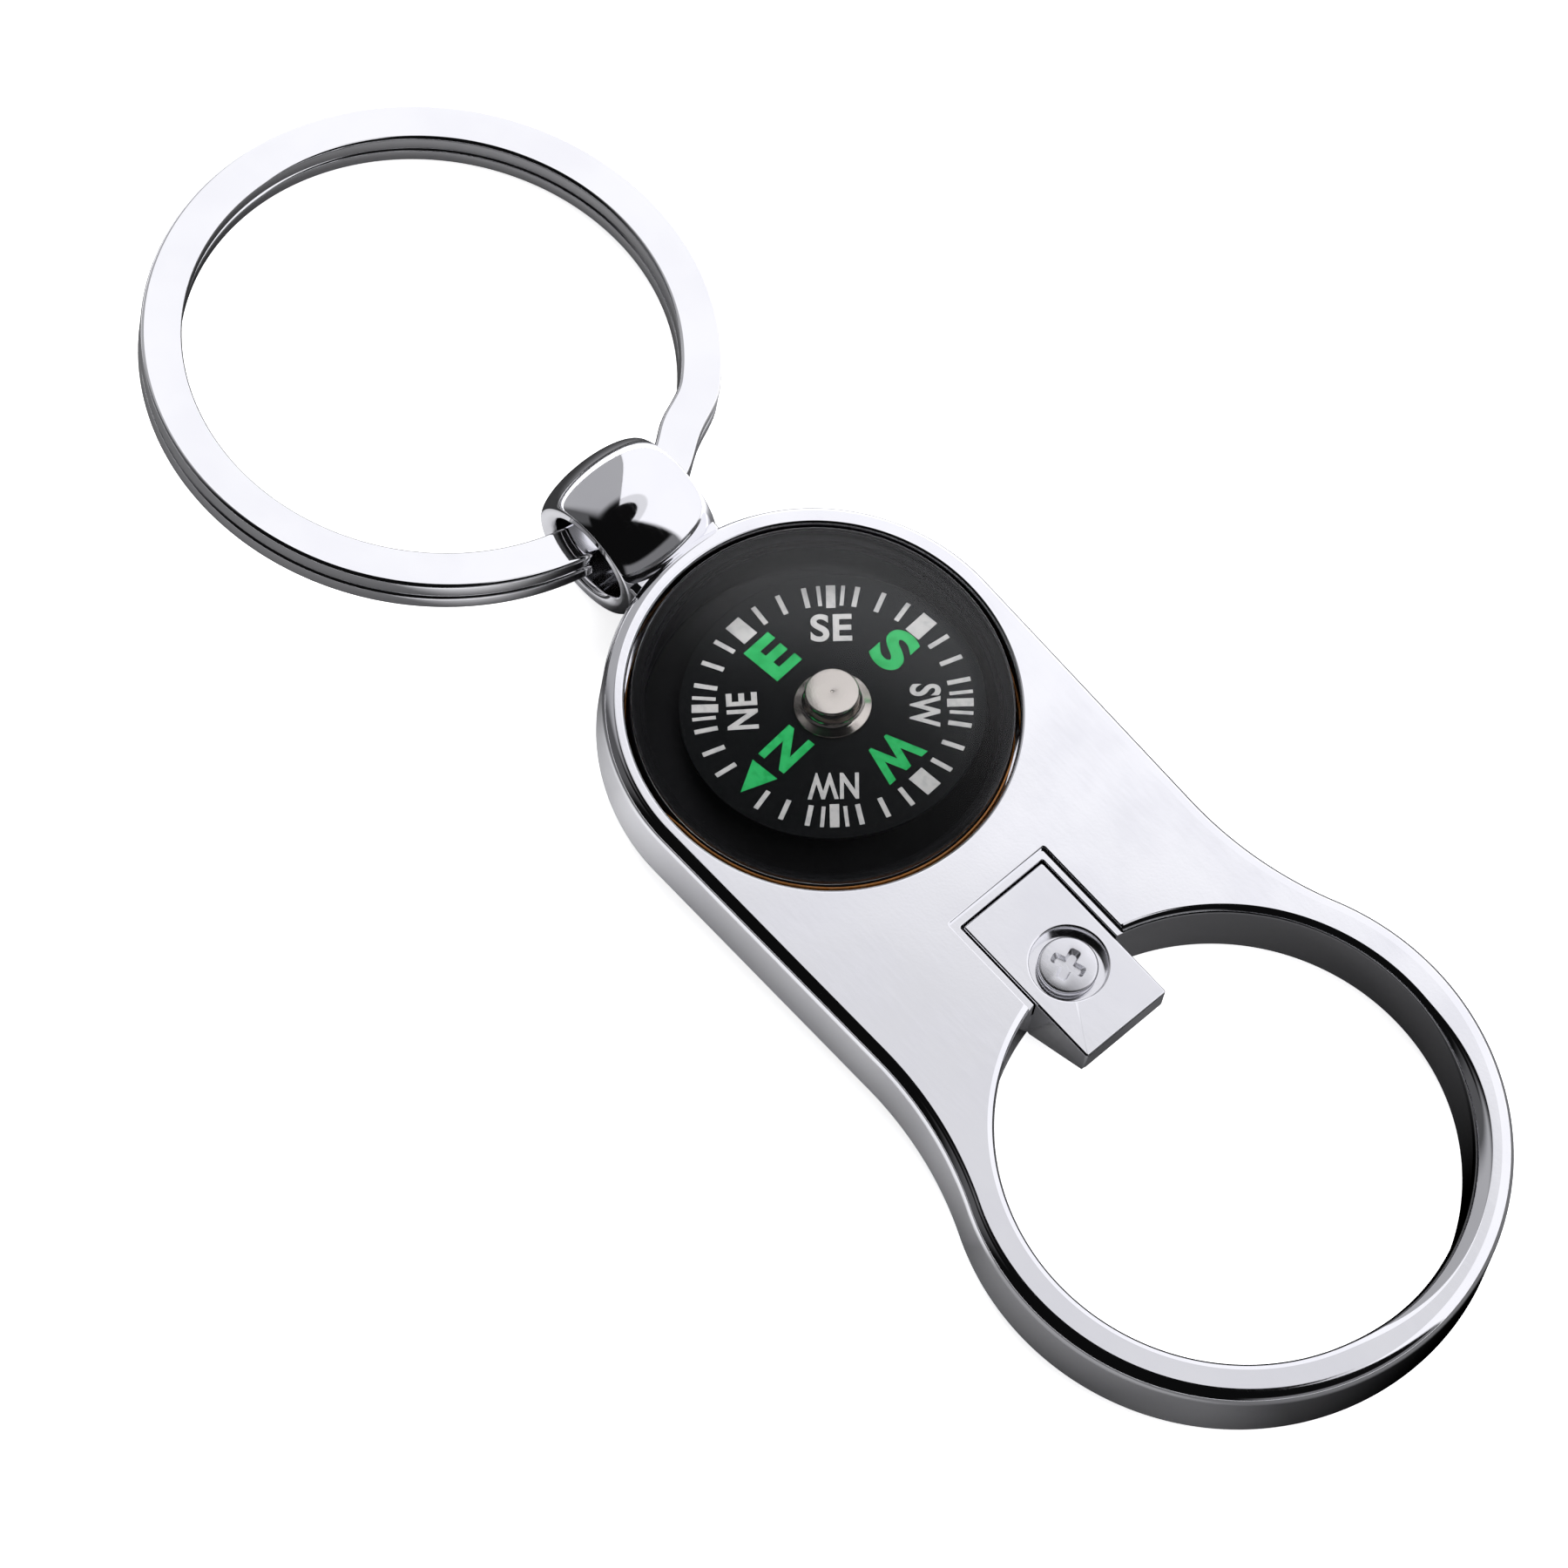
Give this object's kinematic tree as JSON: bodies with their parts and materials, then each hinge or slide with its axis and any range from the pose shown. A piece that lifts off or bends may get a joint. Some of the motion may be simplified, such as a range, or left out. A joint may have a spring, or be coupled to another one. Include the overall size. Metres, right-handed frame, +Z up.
{
  "type": "keychain bottle opener",
  "caption": "Keychain bottle opener: chromed casting with a bottle loop, screwed-in cap lifter, button compass with turning card, and a split ring in a barrel eyelet.",
  "frame": {"origin": "on the floor plane under the middle of the opener's length and width, as it lies on a table on its barrel eyelet, the rim of its loop and its split ring", "axes": "+X from the split ring towards the bottle loop, +Z up out of the compass face"},
  "size_m": [0.0882, 0.03, 0.0081],
  "materials": {
    "chrome_plating": "bright decorative chrome over polished zinc",
    "lifter_steel": "nickel-chrome plated steel, lightly satin",
    "ring_steel": "bright nickel plated spring steel",
    "screw_steel": "nickel plated, satin",
    "case_black": "black moulded plastic",
    "card_print": "black card with white and green print",
    "lens_clear": "clear polished acrylic",
    "glue_amber": "cured amber adhesive",
    "magnet_ferrite": "sintered ferrite, matt",
    "hub_nickel": "nickel plated brass, fine turned",
    "pin_steel": "ground steel needle",
    "jewel_glass": "clear glass bearing"
  },
  "bodies": {
    "opener": {"body_casting": "chrome_plating", "lifter_plate": "lifter_steel", "lifter_screw": "screw_steel", "compass_case": "case_black", "compass_adhesive": "glue_amber", "compass_lens": "lens_clear", "pivot_pin": "pin_steel"},
    "key_ring": {"split_ring": "ring_steel"},
    "card": {"compass_card": "card_print", "card_magnet": "magnet_ferrite", "bearing_hub": "hub_nickel", "bearing_jewel": "jewel_glass"}
  },
  "joints": [
    {"name": "ring_swing", "type": "hinge", "parent": "opener", "child": "key_ring", "pos_m": [-0.01489, 0.00081, 0.00405], "axis": [0, 1, 0], "range_deg": [-155, 165]},
    {"name": "card_turn", "type": "hinge", "parent": "opener", "child": "card", "pos_m": [-0.00071, 0.00178, 0.00511], "axis": [-0.1453, 0, 0.9894], "continuous": true}
  ]
}
